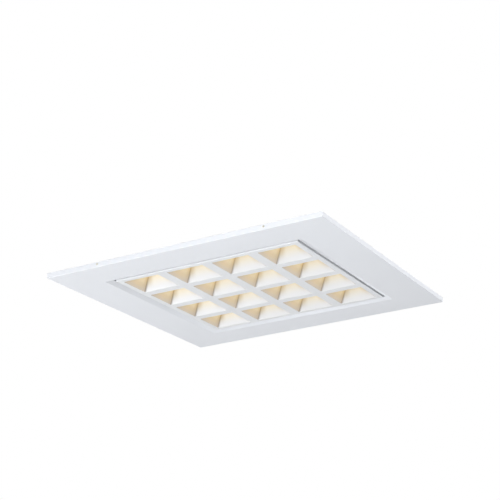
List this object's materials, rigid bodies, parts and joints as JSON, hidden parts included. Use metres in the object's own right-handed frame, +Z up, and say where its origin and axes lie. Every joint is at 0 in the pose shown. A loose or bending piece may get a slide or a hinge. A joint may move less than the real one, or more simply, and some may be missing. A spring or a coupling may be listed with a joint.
{
  "type": "recessed troffer light",
  "caption": "Square lay-in ceiling light with a flat white bezel and a recessed louvre plate of square cells with pyramid reflectors, hinged for access, with a gear box behind.",
  "frame": {"origin": "centre of the visible bezel face, in its plane", "axes": "+Z up into the ceiling, away from the room; +Y towards the gear box lid's hinge; the louvre's hinge is on the -X side"},
  "size_m": [0.595, 0.5958, 0.0707],
  "materials": {
    "white_steel": "satin",
    "louvre_white": "satin",
    "reflector_white": "satin",
    "zinc_steel": "satin",
    "zinc_fastener": "satin",
    "opal_sheet": "satin",
    "board_white": "satin",
    "chip_yellow": "gloss",
    "connector_white": "satin",
    "magnet_dark": "satin",
    "driver_body": "satin",
    "driver_cap": "satin",
    "terminal_grey": "satin",
    "lever_orange": "satin",
    "gland_grey": "satin",
    "rubber_black": "matte",
    "wire_jacket": "satin",
    "earth_brass": "satin"
  },
  "bodies": {
    "housing": {"bezel_frame": "white_steel", "corner_gussets": "zinc_steel", "frame_studs": "zinc_fastener", "frame_nuts": "zinc_fastener", "rear_housing": "white_steel", "seat_frame": "white_steel", "seat_rivets": "zinc_fastener", "diffuser_rails": "zinc_steel", "diffuser_sheet": "opal_sheet", "led_chips": "chip_yellow", "board_screws": "zinc_fastener", "board_connectors": "connector_white", "board_jumpers": "wire_jacket", "output_lead": "wire_jacket", "lead_grommet": "rubber_black", "hinge_brackets": "zinc_steel", "magnet_catches": "magnet_dark", "gear_box": "zinc_steel", "gear_box_screws": "zinc_fastener", "driver_case": "driver_body", "driver_end_caps": "driver_cap", "terminal_block": "terminal_grey", "earth_post": "earth_brass", "inlet_gland": "gland_grey", "input_leads": "wire_jacket", "lid_hinge_pin": "zinc_fastener", "tab_rivets": "zinc_fastener", "suspension_lugs": "zinc_steel", "led_board_1": "board_white", "led_board_2": "board_white", "led_board_3": "board_white", "led_board_4": "board_white"},
    "louvre": {"louvre_face": "louvre_white", "hinge_pins": "zinc_fastener", "strike_plates": "zinc_steel", "reflector_cup_1_1": "reflector_white", "reflector_cup_1_2": "reflector_white", "reflector_cup_1_3": "reflector_white", "reflector_cup_1_4": "reflector_white", "reflector_cup_2_1": "reflector_white", "reflector_cup_2_2": "reflector_white", "reflector_cup_2_3": "reflector_white", "reflector_cup_2_4": "reflector_white", "reflector_cup_3_1": "reflector_white", "reflector_cup_3_2": "reflector_white", "reflector_cup_3_3": "reflector_white", "reflector_cup_3_4": "reflector_white", "reflector_cup_4_1": "reflector_white", "reflector_cup_4_2": "reflector_white", "reflector_cup_4_3": "reflector_white", "reflector_cup_4_4": "reflector_white"},
    "lid": {"gear_box_lid": "zinc_steel", "lid_screw": "zinc_fastener"},
    "tie_tab_body_1": {"tie_tab_1": "zinc_steel"},
    "tie_tab_body_2": {"tie_tab_2": "zinc_steel"},
    "tie_tab_body_3": {"tie_tab_3": "zinc_steel"},
    "tie_tab_body_4": {"tie_tab_4": "zinc_steel"},
    "lever_body_1": {"terminal_lever_1": "lever_orange"},
    "lever_body_2": {"terminal_lever_2": "lever_orange"},
    "lever_body_3": {"terminal_lever_3": "lever_orange"}
  },
  "joints": [
    {"name": "louvre_hinge", "type": "hinge", "parent": "housing", "child": "louvre", "pos_m": [-0.197, 0, 0.007], "axis": [0, 1, 0], "range_deg": [0, 90]},
    {"name": "lid_hinge", "type": "hinge", "parent": "housing", "child": "lid", "pos_m": [0, 0.0625, 0.0669], "axis": [-1, 0, 0], "range_deg": [0, 105]},
    {"name": "tie_tab_1_swing", "type": "hinge", "parent": "housing", "child": "tie_tab_body_1", "pos_m": [-0.18, -0.2958, 0.006], "axis": [0, -1, 0], "range_deg": [0, 90]},
    {"name": "tie_tab_2_swing", "type": "hinge", "parent": "housing", "child": "tie_tab_body_2", "pos_m": [0.18, -0.2958, 0.006], "axis": [0, 1, 0], "range_deg": [0, 90]},
    {"name": "tie_tab_3_swing", "type": "hinge", "parent": "housing", "child": "tie_tab_body_3", "pos_m": [-0.18, 0.2958, 0.006], "axis": [0, -1, 0], "range_deg": [0, 90]},
    {"name": "tie_tab_4_swing", "type": "hinge", "parent": "housing", "child": "tie_tab_body_4", "pos_m": [0.18, 0.2958, 0.006], "axis": [0, 1, 0], "range_deg": [0, 90]},
    {"name": "lever_1_lift", "type": "hinge", "parent": "housing", "child": "lever_body_1", "pos_m": [-0.0935, -0.019, 0.051], "axis": [-1, 0, 0], "range_deg": [0, 90]},
    {"name": "lever_2_lift", "type": "hinge", "parent": "housing", "child": "lever_body_2", "pos_m": [-0.085, -0.019, 0.051], "axis": [-1, 0, 0], "range_deg": [0, 90]},
    {"name": "lever_3_lift", "type": "hinge", "parent": "housing", "child": "lever_body_3", "pos_m": [-0.0765, -0.019, 0.051], "axis": [-1, 0, 0], "range_deg": [0, 90]}
  ]
}
